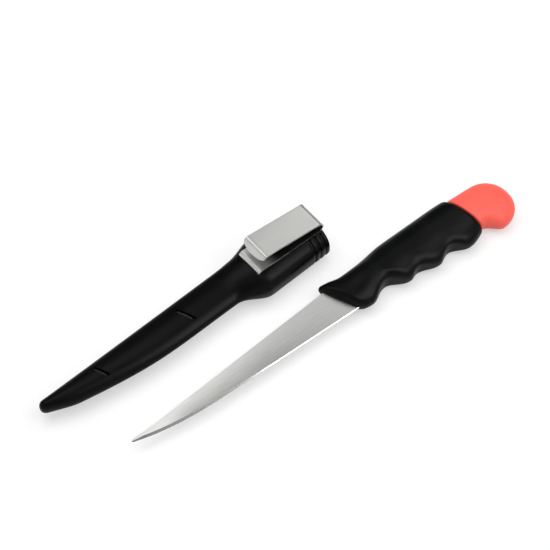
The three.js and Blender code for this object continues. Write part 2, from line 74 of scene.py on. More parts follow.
towards_camera = Vector((
    math.sin(LOOK_AZIMUTH) * math.cos(LOOK_ELEVATION),
    -math.cos(LOOK_AZIMUTH) * math.cos(LOOK_ELEVATION),
    math.sin(LOOK_ELEVATION),
))
camera = bpy.data.objects.new("camera", bpy.data.cameras.new("camera"))
camera.data.sensor_width = SENSOR_WIDTH
camera.data.lens = SENSOR_WIDTH * FOCAL_PIXELS / FRAME_PIXELS
camera.location = LOOK_AT + LOOK_DISTANCE * towards_camera
camera.rotation_euler = towards_camera.to_track_quat("Z", "Y").to_euler()
bpy.context.scene.collection.objects.link(camera)
bpy.context.scene.camera = camera
print(f"lens {camera.data.lens:.1f} mm at {tuple(round(c, 3) for c in camera.location)}")

# %% [markdown]
# ## Lofting by extrusion
#
# Blade, handle, float and sheath are all long bodies whose section changes along X. Each could
# be sculpted, or cut from a block. A loft is closer to how they are moulded and ground: one ring
# of vertices is extruded again and again, and every new ring is set on the next section.
# The `place` layer remembers where on the ring a vertex belongs, and extrusion copies it.

# %% Loft helper
MERGE_DISTANCE = 1e-4


def extrude_rim(bm, rim):
    made = bmesh.ops.extrude_edge_only(bm, edges=rim)["geom"]
    fresh = {v for v in made if isinstance(v, bmesh.types.BMVert)}
    new_rim = [e for e in made if isinstance(e, bmesh.types.BMEdge) and fresh.issuperset(e.verts)]
    return fresh, new_rim


def loft(rings):
    bm = bmesh.new()
    bmesh.ops.create_circle(bm, segments=len(rings[0]), radius=1.0)
    place = bm.verts.layers.int.new("place")
    for index, vert in enumerate(bm.verts):
        vert[place] = index
        vert.co = rings[0][index]
    first = rim = list(bm.edges)
    for ring in rings[1:]:
        fresh, rim = extrude_rim(bm, rim)
        for vert in fresh:
            vert.co = ring[vert[place]]
    for end in (first, rim):
        bmesh.ops.edgeloop_fill(bm, edges=end)
    bmesh.ops.remove_doubles(bm, verts=bm.verts, dist=MERGE_DISTANCE)
    bmesh.ops.recalc_face_normals(bm, faces=bm.faces)
    return bm


square = [Vector((0.0, y, z)) for y, z in ((1, 1), (1, -1), (-1, -1), (-1, 1))]
trial = loft([square, [corner + Vector((1.0, 0.0, 0.0)) for corner in square]])
print(f"trial loft of two squares: {len(trial.faces)} faces, volume {trial.calc_volume():.1f}")
trial.free()

# %% [markdown]
# ## From a bmesh to a piece
#
# The shapes are drawn in millimetres about the knife's own axis: X = 0 is the heel of the edge
# and Z = 0 the blade's mid-plane. A pushed-home knife shares these coordinates with its sheath,
# so one set of curves serves both. At the end the mesh is moved to its place and scaled to
# metres, and the object itself stays at the origin. Edges that turn by more than the crease
# angle stay sharp in the shading.

# %% Piece helper
KNIFE_PLACE = Vector((31.556, -21.172, 8.0))
SHEATH_PLACE = KNIFE_PLACE + Vector((-9.0, 45.0, 2.35))


def make_piece(bm, name, place, crease_degrees):
    bmesh.ops.transform(bm, matrix=Matrix.Scale(MM, 4) @ Matrix.Translation(place), verts=bm.verts)
    mesh = bpy.data.meshes.new(name)
    bm.to_mesh(mesh)
    bm.free()
    mesh.shade_smooth()
    mesh.set_sharp_from_angle(angle=math.radians(crease_degrees))
    piece = bpy.data.objects.new(name, mesh)
    bpy.context.scene.collection.objects.link(piece)
    print(f"{name}: {len(mesh.polygons)} faces, {[round(d / MM, 1) for d in piece.dimensions]} mm")
    return piece


print("sheath's place from the knife's:", tuple(SHEATH_PLACE - KNIFE_PLACE), "mm")

# %% [markdown]
# ## Curves
#
# A few plain helpers describe the outlines. `curve_through` is a smooth height along X that is
# level at each crest and hollow, so a finger hollow stays a hollow. `crossing` finds where such
# an outline meets a section plane that leans, because the handle's ends are not cut square.

# %% Curve helpers
FULL_TURN, QUARTER_TURN = 2 * math.pi, math.pi / 2
CROSSING_PASSES = 12


def mix(start, end, part):
    return start + (end - start) * part


def share(start, end, x):
    return min(max((x - start) / (end - start), 0.0), 1.0)


def smooth(t):
    return t * t * (3 - 2 * t)


def ease(start, end, x):
    return smooth(share(start, end, x))


def spread(start, end, step):
    count = math.ceil(abs(end - start) / step)
    return [mix(start, end, k / count) for k in range(count + 1)]


print("ease in quarters:", [round(ease(0, 1, t), 2) for t in spread(0, 1, 0.25)])


# %% Outline helpers
def curve_through(points):
    def rise(i):
        return (points[i + 1][1] - points[i][1]) / (points[i + 1][0] - points[i][0])

    last = len(points) - 1
    slopes = [rise(0)]
    for i in range(1, last):
        product = rise(i - 1) * rise(i)
        slopes.append(0.0 if product <= 0 else 2 * product / (rise(i - 1) + rise(i)))
    slopes.append(rise(last - 1))

    def height(x):
        held = min(max(x, points[0][0]), points[last][0])
        i = next(k for k in range(last) if held <= points[k + 1][0])
        span = points[i + 1][0] - points[i][0]
        t = (held - points[i][0]) / span
        leave = t * (1 - t) ** 2 * span * slopes[i]
        arrive = t * t * (1 - t) * span * slopes[i + 1]
        return mix(points[i][1], points[i + 1][1], smooth(t)) + leave - arrive

    return height


def crossing(outline, station, slant):
    y = outline(station)
    for _ in range(CROSSING_PASSES):
        y = outline(station - slant * y)
    return y


hill = curve_through([(0, 0), (1, 1), (2, 0)])
print("a hill at its foot, side and top:", [hill(x) for x in (0, 0.5, 1)])

# %% [markdown]
# ## Blade
#
# The real blade is ground from flat stock: a straight spine, an edge that is straight for most
# of its length and then bellies up to the point, two sides and a bevel along the edge. It could
# be cut from a plate, but its thickness changes all along, so it is a loft.
#
# The sides are very slightly hollow ground, so each ring has a few points down either side and
# then the bevel. Along the straight edge the steel is thin and the hone leaves a narrow bevel.
# Along the belly it is thicker, so the bevel widens there.

# %% Blade outline
BLADE_LENGTH = 150.0
SPINE_AT_HEEL, SPINE_AT_POINT = 8.7, -9.0
POINT_SWEEP, POINT_SWEEP_LENGTH, POINT_SWEEP_POWER = 0.9, 32.0, 3
EDGE_AT_HEEL, EDGE_AT_POINT = -12.1, -16.5
BELLY_LENGTH, BELLY_POWER = 62.0, 2.7
POINT_WIDTH = 1.4


def spine_y(x):
    sweep = share(BLADE_LENGTH - POINT_SWEEP_LENGTH, BLADE_LENGTH, -x)
    return mix(SPINE_AT_HEEL, SPINE_AT_POINT, -x / BLADE_LENGTH) + POINT_SWEEP * sweep**POINT_SWEEP_POWER


def edge_y(x):
    belly = share(BLADE_LENGTH - BELLY_LENGTH, BLADE_LENGTH, -x)
    lift = spine_y(-BLADE_LENGTH) - POINT_WIDTH - EDGE_AT_POINT
    return mix(EDGE_AT_HEEL, EDGE_AT_POINT, -x / BLADE_LENGTH) + lift * belly**BELLY_POWER


print(f"blade: {BLADE_LENGTH} mm long, {spine_y(0.0) - edge_y(0.0):.1f} mm deep at the heel")

# %% Blade section
BLADE_THICKNESS, POINT_THICKNESS = 1.6, 0.9
SHOULDER_AT_HEEL, SHOULDER_AT_BELLY, EDGE_THICKNESS = 0.5, 0.8, 0.16
BEVEL_AT_HEEL, BEVEL_AT_BELLY, BEVEL_SHARE = 0.45, 1.7, 0.5
BEVEL_WIDENS, BEVEL_WIDE = 45.0, 115.0
SIDE_STEPS, HOLLOW_GRIND_POWER = 5, 2
side_shares = [k / SIDE_STEPS for k in range(SIDE_STEPS + 1)]


def both_sides(side, station, slant):
    corners = side + [(y, -z) for y, z in reversed(side)]
    return [Vector((station - slant * y, y, z)) for y, z in corners]


def blade_ring(station, slant, spine, edge, narrowing=1.0):
    along = share(0.0, 1.0, -station / BLADE_LENGTH)
    widening = ease(BEVEL_WIDENS, BEVEL_WIDE, -station)
    back = mix(BLADE_THICKNESS, POINT_THICKNESS, along) / 2
    full_bevel = mix(BEVEL_AT_HEEL, BEVEL_AT_BELLY, widening)
    full_shoulder = min(mix(SHOULDER_AT_HEEL, SHOULDER_AT_BELLY, widening) / 2, back)
    # Near the point the bevel is cut short, and the blade thins to keep the bevel's angle.
    bevel = min(full_bevel, BEVEL_SHARE * (spine - edge))
    shoulder = mix(EDGE_THICKNESS / 2, full_shoulder, bevel / full_bevel)
    back += shoulder - full_shoulder
    side = [(mix(spine, edge + bevel, t), mix(shoulder, back, (1 - t) ** HOLLOW_GRIND_POWER))
            for t in side_shares]
    side.append((edge, EDGE_THICKNESS / 2))
    middle = (spine + edge) / 2
    return both_sides([(mix(middle, y, narrowing), z) for y, z in side], station, slant)


def slab_ring(station, slant, top, bottom, half):
    side = [(mix(top, bottom + BEVEL_AT_HEEL, t), half) for t in side_shares] + [(bottom, half)]
    return both_sides(side, station, slant)


print(f"bevel: {BEVEL_AT_HEEL} mm at the heel, {BEVEL_AT_BELLY} mm along the belly")

# %% [markdown]
# The rings start at the rounded point, run to the heel, lean over to follow the handle's front,
# and narrow to the tang inside the handle.

# %% Blade rings
HANDLE_FRONT, FRONT_SLANT = -7.6, 0.543
BLADE_INSET = 4.0
TANG_HALF_HEIGHT, TANG_END = 5.0, 56.0
BLADE_STEP = 1.5
POINT_ROUNDING, POINT_STEPS = 1.0, 8


def upright_blade_ring(x, narrowing=1.0):
    return blade_ring(x, 0.0, spine_y(x), edge_y(x), narrowing)


def slanted_blade_ring(station):
    spine = crossing(spine_y, station, FRONT_SLANT)
    edge = crossing(edge_y, station, FRONT_SLANT)
    return blade_ring(station, FRONT_SLANT, spine, edge)


def blade_rings():
    rings = []
    for k in range(POINT_STEPS):
        turn = (k + 0.5) / POINT_STEPS * QUARTER_TURN
        x = -BLADE_LENGTH + POINT_ROUNDING * (1 - math.cos(turn))
        rings.append(upright_blade_ring(x, math.sin(turn)))
    root = HANDLE_FRONT - FRONT_SLANT * (SPINE_AT_HEEL + BLADE_INSET)
    rings += [upright_blade_ring(x) for x in spread(-BLADE_LENGTH + POINT_ROUNDING, root, BLADE_STEP)]
    rings.append(slanted_blade_ring(HANDLE_FRONT))
    rings.append(slanted_blade_ring(HANDLE_FRONT + BLADE_INSET))
    tang = (TANG_HALF_HEIGHT, -TANG_HALF_HEIGHT, BLADE_THICKNESS / 2)
    rings.append(slab_ring(HANDLE_FRONT + BLADE_INSET, FRONT_SLANT, *tang))
    rings.append(slab_ring(TANG_END, 0.0, *tang))
    return rings


bm = loft(blade_rings())
print(f"blade loft: {len(bm.faces)} faces")

# %% [markdown]
# The two corners of the spine get a tiny bevel that catches the light. The honed faces get a
# finish of their own. A float layer says how far down the hollow a vertex lies, and there the
# side is painted darker as painted shade. It starts at the heel and runs out before the point.

# %% Blade piece
SPINE_BEVEL, BEVEL_SEGMENTS = 0.14, 2
BLADE_CREASE = 4.0
PAINTED_SHADE_DEEPENS = 60.0
PAINTED_SHADE_FADES, PAINTED_SHADE_GONE = 112.0, 136.0
SHOULDER_POINT, EDGE_POINT = SIDE_STEPS, SIDE_STEPS + 1
LAST_POINT = 2 * EDGE_POINT + 1


def bevel_edges(bm, edges, offset):
    bmesh.ops.bevel(
        bm, geom=edges, offset=offset, affect="EDGES", segments=BEVEL_SEGMENTS, profile=0.5,
        material=-1,
    )


def painted_shade_depth(x, point):
    down_side = min(point, LAST_POINT - point, SIDE_STEPS) / SIDE_STEPS
    return down_side * share(0.0, PAINTED_SHADE_DEEPENS, -x) * (1 - ease(PAINTED_SHADE_FADES, PAINTED_SHADE_GONE, -x))


place = bm.verts.layers.int["place"]
corners = ({0}, {LAST_POINT})
bevel_edges(bm, [e for e in bm.edges if {v[place] for v in e.verts} in corners], SPINE_BEVEL)
honed = ({SHOULDER_POINT, EDGE_POINT}, {LAST_POINT - SHOULDER_POINT, LAST_POINT - EDGE_POINT})
for face in bm.faces:
    face.material_index = int({v[place] for v in face.verts} in honed)
# Painted shade: the blade's side is painted darker down the hollow, towards the edge.
painted_shade = bm.verts.layers.float.new("painted_shade")
for vert in bm.verts:
    vert[painted_shade] = painted_shade_depth(vert.co.x, vert[place])
blade = make_piece(bm, "knife_blade", KNIFE_PLACE, BLADE_CREASE)
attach(blade, "knife")
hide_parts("blade")

# %% [markdown]
# ## Rounded sections
#
# Handle, float and sheath are moulded with a section between an ellipse and a rectangle.
# A superellipse describes that with one number, its squareness: 2 is an ellipse, and larger
# numbers fill the corners. Where a finger hollow pares the section, the ring reaches deeper and
# is then held above the hollow's wall, which leaves a flat wall with an eased edge.

# %% Rounded section helper
RING_POINTS = 96
HOLLOW_EASING = 1.0


def squared(value, squareness):
    return math.copysign(abs(value) ** (2 / squareness), value)


def held_above(wall, easing, y):
    return (y + wall + math.hypot(y - wall, easing)) / 2


def rounded_ring(station, bottom, top, half, squareness, slant=0.0, pared=0.0):
    middle, reach = (top + bottom - pared) / 2, (top - bottom + pared) / 2
    easing = min(pared, HOLLOW_EASING)
    ring = []
    for k in range(RING_POINTS):
        angle = (k + 0.5) / RING_POINTS * FULL_TURN
        y = middle + reach * squared(math.cos(angle), squareness)
        if pared > 0:
            y = held_above(bottom, easing, y)
        ring.append(Vector((station - slant * y, y, half * squared(math.sin(angle), squareness))))
    return ring


print("half way round a quarter:", [round(squared(math.cos(QUARTER_TURN / 2), s), 2) for s in (2, 3, 4)])

# %% [markdown]
# A rounded end is a quarter circle: stations that crowd towards the end face, each with an
# inset that grows. `rounded_stations` puts one at either end of an evenly divided length.

# %% Rounded end helper
ROUND_STEPS = 8
LOFT_STEP = 1.2


def rounded_end(face, inwards, rounding):
    turns = [k / ROUND_STEPS * QUARTER_TURN for k in range(ROUND_STEPS)]
    return [
        (face + inwards * rounding * (1 - math.cos(t)), rounding * (1 - math.sin(t))) for t in turns
    ]


def rounded_stations(start, end, start_rounding, end_rounding):
    middle = [(x, 0.0) for x in spread(start + start_rounding, end - end_rounding, LOFT_STEP)]
    front, rear = rounded_end(start, 1, start_rounding), rounded_end(end, -1, end_rounding)
    return front + middle + rear[::-1]


print("stations of a 10 mm bar with rounded ends:", len(rounded_stations(0.0, 10.0, 1.0, 1.0)))

# %% [markdown]
# ## Handle
#
# The grip is one black moulding with three finger hollows below and a gently arched back.
# Its front face leans with the hand and is well rounded, and its rear rim stands proud of the
# float. It could be a subdivided box, but the hollows have to sit where the fingers do. So the
# two outlines are curves through a few measured heights, and each ring lies on a plane that
# leans from the front's slant to the rear's. A third number at each finger height says how
# deep the hollow's wall is pared.

# %% Handle outline
FRONT_COVER, GUARD_COVER = 1.7, 2.4
spine_side_points = [
    (-13, 11.7), (-7, 11.3), (1, 9.8), (12, 10.5), (32, 14.0), (55, 15.7), (78, 17.1), (92, 16.9),
]
finger_side_points = [
    (0, EDGE_AT_HEEL - FRONT_COVER, 0.0), (7, EDGE_AT_HEEL - GUARD_COVER, 0.0), (22, -8.0, 1.6),
    (34.8, -14.1, 0.0), (42.3, -11.4, 1.8), (54.6, -15.4, 0.0), (65.5, -10.5, 2.8),
    (76.8, -15.9, 0.0), (93, -10, 0.0),
]
spine_side_y = curve_through(spine_side_points)
finger_side_y = curve_through([(x, height) for x, height, _ in finger_side_points])
pared_depth = curve_through([(x, pared) for x, _, pared in finger_side_points])
print("finger hollows at:", [x for x, _, pared in finger_side_points if pared > 0], "mm")

# %% Handle piece
HANDLE_THICKNESS = 16.0
HANDLE_NOSE, HANDLE_NOSE_LENGTH = 12.0, 26.0
HANDLE_REAR, REAR_SLANT = 86.5, 0.25
FRONT_ROUNDING, REAR_ROUNDING = 3.6, 2.4
HANDLE_SQUARENESS = 2.2
GRIP_CREASE = 50.0


def handle_ring(x, inset):
    slant = mix(FRONT_SLANT, REAR_SLANT, share(HANDLE_FRONT, HANDLE_REAR, x))
    fullness = ease(HANDLE_FRONT, HANDLE_FRONT + HANDLE_NOSE_LENGTH, x)
    half = mix(HANDLE_NOSE, HANDLE_THICKNESS, fullness) / 2
    bottom = crossing(finger_side_y, x, slant)
    top = crossing(spine_side_y, x, slant) - inset
    pared = pared_depth(x - slant * bottom)
    return rounded_ring(x, bottom + inset, top, half - inset, HANDLE_SQUARENESS, slant, pared)


stations = rounded_stations(HANDLE_FRONT, HANDLE_REAR, FRONT_ROUNDING, REAR_ROUNDING)
handle = make_piece(loft([handle_ring(*s) for s in stations]), "grip", KNIFE_PLACE, GRIP_CREASE)
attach(handle, "knife")
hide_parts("handle")

# %% [markdown]
# ## Float butt
#
# The coral butt is a hollow float that keeps a dropped knife at the surface. It starts a step
# inside the handle's rear rim and swells to a round end. A sphere would be too thick: it is as
# flat as the handle, so its last rings shrink to a pole in height and in thickness together.

# %% Float piece
FLOAT_LENGTH, FLOAT_THICKNESS = 30.8, 15.4
FLOAT_GAP, FLOAT_STEP, FLOAT_ROUNDING = 0.3, 1.7, 1.0
FLOAT_RADIUS, FLOAT_DROOP, FLOAT_HANG = 16.2, 0.5, 1.5
FLOAT_SQUARENESS = 2.4
BUTT_STEPS = 24
float_front = HANDLE_REAR + FLOAT_GAP
float_centre = HANDLE_REAR + FLOAT_LENGTH - FLOAT_RADIUS
rim_top = crossing(spine_side_y, HANDLE_REAR, REAR_SLANT) - FLOAT_STEP
rim_bottom = crossing(finger_side_y, HANDLE_REAR, REAR_SLANT) + FLOAT_STEP


def float_ring(x, inset):
    swell = ease(float_front, float_centre, x)
    top = mix(rim_top, FLOAT_RADIUS - FLOAT_DROOP, swell) - inset
    bottom = mix(rim_bottom, -FLOAT_RADIUS - FLOAT_DROOP, swell**FLOAT_HANG) + inset
    slant = mix(REAR_SLANT, 0.0, share(float_front, float_centre, x))
    return rounded_ring(x, bottom, top, FLOAT_THICKNESS / 2 - inset, FLOAT_SQUARENESS, slant)


def butt_ring(turn):
    reach, half = FLOAT_RADIUS * math.cos(turn), FLOAT_THICKNESS / 2 * math.cos(turn)
    x = float_centre + FLOAT_RADIUS * math.sin(turn)
    return rounded_ring(x, -FLOAT_DROOP - reach, -FLOAT_DROOP + reach, half, FLOAT_SQUARENESS)


stations = rounded_stations(float_front, float_centre, FLOAT_ROUNDING, 0.0)
rings = [float_ring(x, inset) for x, inset in stations if x < float_centre]
rings += [butt_ring(k / BUTT_STEPS * QUARTER_TURN) for k in range(BUTT_STEPS)]
float_butt = make_piece(loft(rings), "float", KNIFE_PLACE, GRIP_CREASE)
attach(float_butt, "knife")
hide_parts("float_butt")

# %% [markdown]
# ## Sheath
#
# One moulded black shell: a thin pocket for the blade that flares into a neck for the front of
# the handle, with three grip grooves behind the throat and two drain slits through the pocket.
# A solid could be hollowed with a Boolean. But the hollow follows the knife with room to spare,
# and the outside is that hollow grown by the wall, so one loft makes the whole shell: out along
# the outside to the throat, over the rim, and back along the inside.

# %% Room for the blade
POCKET_END = -BLADE_LENGTH - 19.3
POCKET_END_HEIGHT = 3.2
POCKET_BELLY = -108.0
NECK_ROOT, NECK_SHOULDER, SPINE_SHOULDER = -26.0, 19.0, 20.0
POCKET_MOUTH = NECK_ROOT - NECK_SHOULDER
ROOM_OVER_POINT, ROOM_OVER_SPINE = 1.9, 2.3
ROOM_UNDER_POINT, ROOM_UNDER_BELLY, ROOM_UNDER_HEEL = 7.5, 4.8, 1.2


def over_blade(x):
    to_point = (POCKET_MOUTH - x) / (POCKET_MOUTH + BLADE_LENGTH)
    over_mouth = spine_y(POCKET_MOUTH) + ROOM_OVER_SPINE
    return mix(over_mouth, spine_y(-BLADE_LENGTH) + ROOM_OVER_POINT, to_point)


under_blade = curve_through([
    (POCKET_END, over_blade(POCKET_END) - POCKET_END_HEIGHT),
    (-BLADE_LENGTH, edge_y(-BLADE_LENGTH) - ROOM_UNDER_POINT),
    (POCKET_BELLY, edge_y(POCKET_BELLY) - ROOM_UNDER_BELLY),
    (POCKET_MOUTH, edge_y(POCKET_MOUTH) - ROOM_UNDER_HEEL),
])
print(f"pocket: {over_blade(POCKET_MOUTH) - under_blade(POCKET_MOUTH):.1f} mm high at its mouth")

# %% Room for the handle
GUIDE_GAP = 0.35
NECK_FLARE = 5.0
THROAT = 18.0
HANDLE_CORNER = HANDLE_FRONT - FRONT_SLANT * spine_side_points[0][1]


def hollow_top(x):
    in_neck = share(HANDLE_CORNER, THROAT, x)
    over_handle = mix(spine_side_y(HANDLE_CORNER), spine_side_y(THROAT), in_neck) + GUIDE_GAP
    return mix(over_blade(x), over_handle, ease(HANDLE_CORNER - SPINE_SHOULDER, HANDLE_CORNER, x))


def hollow_bottom(x):
    flare = NECK_FLARE * (1 - share(NECK_ROOT, THROAT, x))
    under_handle = EDGE_AT_HEEL - GUARD_COVER - GUIDE_GAP - flare
    return mix(under_blade(x), under_handle, ease(POCKET_MOUTH, NECK_ROOT, x))


def hollow_middle(x):
    return (hollow_top(x) + hollow_bottom(x)) / 2


print(f"throat: {hollow_top(THROAT) - hollow_bottom(THROAT):.1f} mm high")

# %% Sheath section
SHEATH_WALL, NECK_WALL = 1.8, 2.0
POCKET_THICKNESS, POCKET_POINT_THICKNESS = 6.2, 4.6
POCKET_TAPER = 18.0
FACE_ROOT, FACE_SHOULDER = -22.0, 25.0
POCKET_SQUARENESS, NECK_SQUARENESS = 2.1, 2.7
NECK_HALF = HANDLE_THICKNESS / 2 + GUIDE_GAP


def shell_ring(x, inset, walls):
    neck = ease(FACE_ROOT - FACE_SHOULDER, FACE_ROOT, x)
    thinning = share(POCKET_END, POCKET_END + POCKET_TAPER, x)
    pocket_half = mix(POCKET_POINT_THICKNESS, POCKET_THICKNESS, thinning) / 2
    grow = walls * mix(SHEATH_WALL, NECK_WALL, neck) - inset
    half = mix(pocket_half, NECK_HALF, neck) + grow
    squareness = mix(POCKET_SQUARENESS, NECK_SQUARENESS, neck)
    return rounded_ring(x, hollow_bottom(x) - grow, hollow_top(x) + grow, half, squareness)


print(f"neck: {2 * (NECK_HALF + NECK_WALL):.1f} mm thick")

# %% Grip grooves
GROOVE_DEPTH, GROOVE_WIDTH, GROOVE_PITCH, GROOVE_COUNT = 0.7, 1.3, 3.9, 3
GROOVE_SOFTNESS = 0.3
THROAT_LAND = 2.4
# Steps down a groove's wall: how far past its middle, and the share of the depth reached there.
groove_wall = [(-1, 0.0), (-0.3, 0.12), (0.3, 0.85), (1, 1.0)]


def groove_stations():
    found = []
    for k in reversed(range(GROOVE_COUNT)):
        rear = THROAT - THROAT_LAND - k * GROOVE_PITCH
        front = rear - GROOVE_WIDTH
        found += [(front + s * GROOVE_SOFTNESS, d * GROOVE_DEPTH) for s, d in groove_wall]
        found += [(rear - s * GROOVE_SOFTNESS, d * GROOVE_DEPTH) for s, d in reversed(groove_wall)]
    return found


grooves = groove_stations()
print(f"grooves: {GROOVE_COUNT}, from {grooves[0][0]:.1f} to {grooves[-1][0]:.1f} mm")

# %% Sheath shell
RIM_ROUNDING, MOUTH_ROUNDING = 0.6, 0.5
SHEATH_TIP_ROUNDING, POCKET_TIP_ROUNDING = 3.2, 0.8
POCKET_STEP = 2.0
SHELL_CREASE = 40.0
sheath_tip, groove_start = POCKET_END - SHEATH_WALL, grooves[0][0] - LOFT_STEP
outside = rounded_stations(sheath_tip, groove_start, SHEATH_TIP_ROUNDING, 0.0)
rim = rounded_end(THROAT, -1, RIM_ROUNDING)[::-1]
mouth = [(x, -inset) for x, inset in rounded_end(THROAT, -1, MOUTH_ROUNDING)]
pocket_stations = spread(THROAT - MOUTH_ROUNDING, POCKET_END + POCKET_TIP_ROUNDING, POCKET_STEP)
pocket = [(x, 0.0) for x in pocket_stations]
pocket_tip = rounded_end(POCKET_END, 1, POCKET_TIP_ROUNDING)[::-1]
rings = [shell_ring(x, inset, 1) for x, inset in outside + grooves + rim]
rings += [shell_ring(x, inset, 0) for x, inset in mouth + pocket + pocket_tip]
sheath = make_piece(loft(rings), "sheath_shell", SHEATH_PLACE, SHELL_CREASE)

# %% [markdown]
# ## Drain slits
#
# The two slanted slits let water out of the pocket. They could be bump alone, but they go right
# through, so they are cut with a Boolean. The cutter is a loft too: a slot outline whose rings
# follow the shell's face and widen just above it, which eases the edge of each slit.

# %% Slit outline
SLIT_WIDTH, SLIT_SLANT = 1.2, 0.53
SLIT_PLACES, SLIT_LENGTHS = (0.5, 0.883), (13.5, 10.0)
SLIT_END_POINTS = 10
slits = [(-along * BLADE_LENGTH, length) for along, length in zip(SLIT_PLACES, SLIT_LENGTHS)]
slit_turn = Matrix.Rotation(QUARTER_TURN + math.atan(SLIT_SLANT), 3, "Z")


def slit_outline(length, grow):
    radius = SLIT_WIDTH / 2 + grow
    reach = length / 2 - SLIT_WIDTH / 2
    turns = [(k / (SLIT_END_POINTS - 1) - 0.5) * math.pi for k in range(SLIT_END_POINTS)]
    end = [Vector((reach + radius * math.cos(t), radius * math.sin(t), 0.0)) for t in turns]
    return end + [Vector((-p.x, -p.y, 0.0)) for p in end]


def face_height(x, y):
    ring_top, ring_bottom = hollow_top(x) + SHEATH_WALL, hollow_bottom(x) - SHEATH_WALL
    off_middle = abs(y - (ring_top + ring_bottom) / 2) / ((ring_top - ring_bottom) / 2)
    half = POCKET_THICKNESS / 2 + SHEATH_WALL
    return half * max(1 - off_middle**POCKET_SQUARENESS, 0.0) ** (1 / POCKET_SQUARENESS)


print("slits at:", [round(x, 1) for x, _ in slits], "mm, long:", SLIT_LENGTHS)

# %% Slit cutters
SLIT_EASING, SLIT_EASING_STEPS = 0.2, 5
CUTTER_CLEARANCE = 1.0


def slit_ring(x, length, grow, side, over_face):
    centre = Vector((x, hollow_middle(x), 0.0))
    ring = [centre + slit_turn @ p for p in slit_outline(length, grow)]
    for p in ring:
        p.z = side * (face_height(p.x, p.y) + over_face)
    return ring


def slit_cutter(x, length):
    turns = [k / SLIT_EASING_STEPS * QUARTER_TURN for k in range(SLIT_EASING_STEPS + 1)]
    profile = [(SLIT_EASING * (1 - math.cos(t)), SLIT_EASING * (math.sin(t) - 1)) for t in turns]
    profile.append((SLIT_EASING, CUTTER_CLEARANCE))
    rings = [slit_ring(x, length, grow, -1, over) for grow, over in reversed(profile)]
    rings += [slit_ring(x, length, grow, 1, over) for grow, over in profile]
    return make_piece(loft(rings), "slit_cutter", SHEATH_PLACE, SHELL_CREASE)


cutters = [slit_cutter(*slit) for slit in slits]

# %% [markdown]
# Along one side of each slit the shell stands up in a low bead. Its finish is paler than the rest
# as a painted highlight.
# It is a slim loft on the shell's face, thickest in the middle and blunt at its ends. The bead
# joins the shell first, and then the slit is cut through both.

# %% Slit beads
BEAD_LENGTH_SHARE = 0.72
BEAD_HALF_WIDTH, BEAD_HEIGHT, BEAD_ASIDE = 0.75, 0.55, 0.8
BEAD_POINTS, BEAD_RINGS = 20, 28
BEAD_SWELL_POWER, BEAD_BLUNTNESS = 0.7, 0.2


def slit_bead(x, length):
    along, aside = slit_turn @ Vector((1.0, 0.0, 0.0)), slit_turn @ Vector((0.0, 1.0, 0.0))
    middle = Vector((x, hollow_middle(x), 0.0))
    middle += (SLIT_WIDTH / 2 + BEAD_HALF_WIDTH * BEAD_ASIDE) * aside
    angles = [k / BEAD_POINTS * FULL_TURN for k in range(BEAD_POINTS)]
    section = [BEAD_HALF_WIDTH * math.cos(a) * aside + Vector((0.0, 0.0, BEAD_HEIGHT * math.sin(a)))
               for a in angles]
    rings = []
    for k in range(BEAD_RINGS + 1):
        turned = (k + BEAD_BLUNTNESS) / (BEAD_RINGS + 2 * BEAD_BLUNTNESS) * math.pi
        centre = middle - BEAD_LENGTH_SHARE * length / 2 * math.cos(turned) * along
        centre.z = face_height(centre.x, centre.y)
        swell = math.sin(turned) ** BEAD_SWELL_POWER
        rings.append([centre + swell * p for p in section])
    return make_piece(loft(rings), "slit_bead", SHEATH_PLACE, SHELL_CREASE)


beads = [slit_bead(*slit) for slit in slits]


# %% Cut the slits
BEAD_SHOWS = 0.08


def combine(piece, steps, crease_degrees):
    for operation, other in steps:
        modifier = piece.modifiers.new("combine", "BOOLEAN")
        modifier.operation, modifier.solver, modifier.object = operation, "EXACT", other
    bpy.context.view_layer.update()
    evaluated = piece.evaluated_get(bpy.context.evaluated_depsgraph_get())
    mesh = bpy.data.meshes.new_from_object(evaluated)
    piece.modifiers.clear()
    piece.data = mesh
    for _, other in steps:
        bpy.data.objects.remove(other)
    mesh.set_sharp_from_angle(angle=math.radians(crease_degrees))
    print(f"{piece.name} with its slits: {len(mesh.polygons)} faces")


joins = [("UNION", bead) for bead in beads]
cuts = [("DIFFERENCE", cutter) for cutter in cutters]
combine(sheath, joins + cuts, SHELL_CREASE)
# The bead's faces that stand above the shell's face get the paler finish, a painted highlight.
for face in sheath.data.polygons:
    x, y, z = face.center / MM - SHEATH_PLACE
    face.material_index = int(x < POCKET_MOUTH and z > face_height(x, y) + BEAD_SHOWS)
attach(sheath, "sheath")
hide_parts("sheath_body")

# %% [markdown]
# ## Belt clip
#
# One strip of spring steel: a small hook let into the neck, a flat base, a round bend and a
# leaf that rises to a turned-down lip with rounded corners. The frame splits it in the bend so
# that the leaf can flex. Here it is one strip: a chain of vertices along its outer line is
# extruded across the width, the lip's corners are drawn in, and the sheet gets its thickness.

# %% Clip line
SHEET = 0.9
CLIP_FRONT, CLIP_END = -29.5, THROAT
BEND_RADIUS, CLIP_OPENING = 3.6, 6.5
LEAF_LENGTH = 37.9
LIP_RADIUS, LIP_TURN = 2.6, 48.0
HOOK_RADIUS, HOOK_LENGTH = 2.4, 0.2
SEAT_DEPTH, SEAT_GAP = 0.5, 0.1
BASE_Z = NECK_HALF + NECK_WALL - SEAT_DEPTH + SEAT_GAP
ARC_STEP, LINE_STEP = 8.0, 1.5


def direction(degrees):
    return Vector((math.cos(math.radians(degrees)), 0.0, math.sin(math.radians(degrees))))


def arc(centre, radius, start, end):
    return [centre + radius * direction(a) for a in spread(start, end, ARC_STEP)]


def straight(start, end):
    return [start.lerp(end, t) for t in spread(0.0, 1.0, LINE_STEP / (end - start).length)][1:-1]


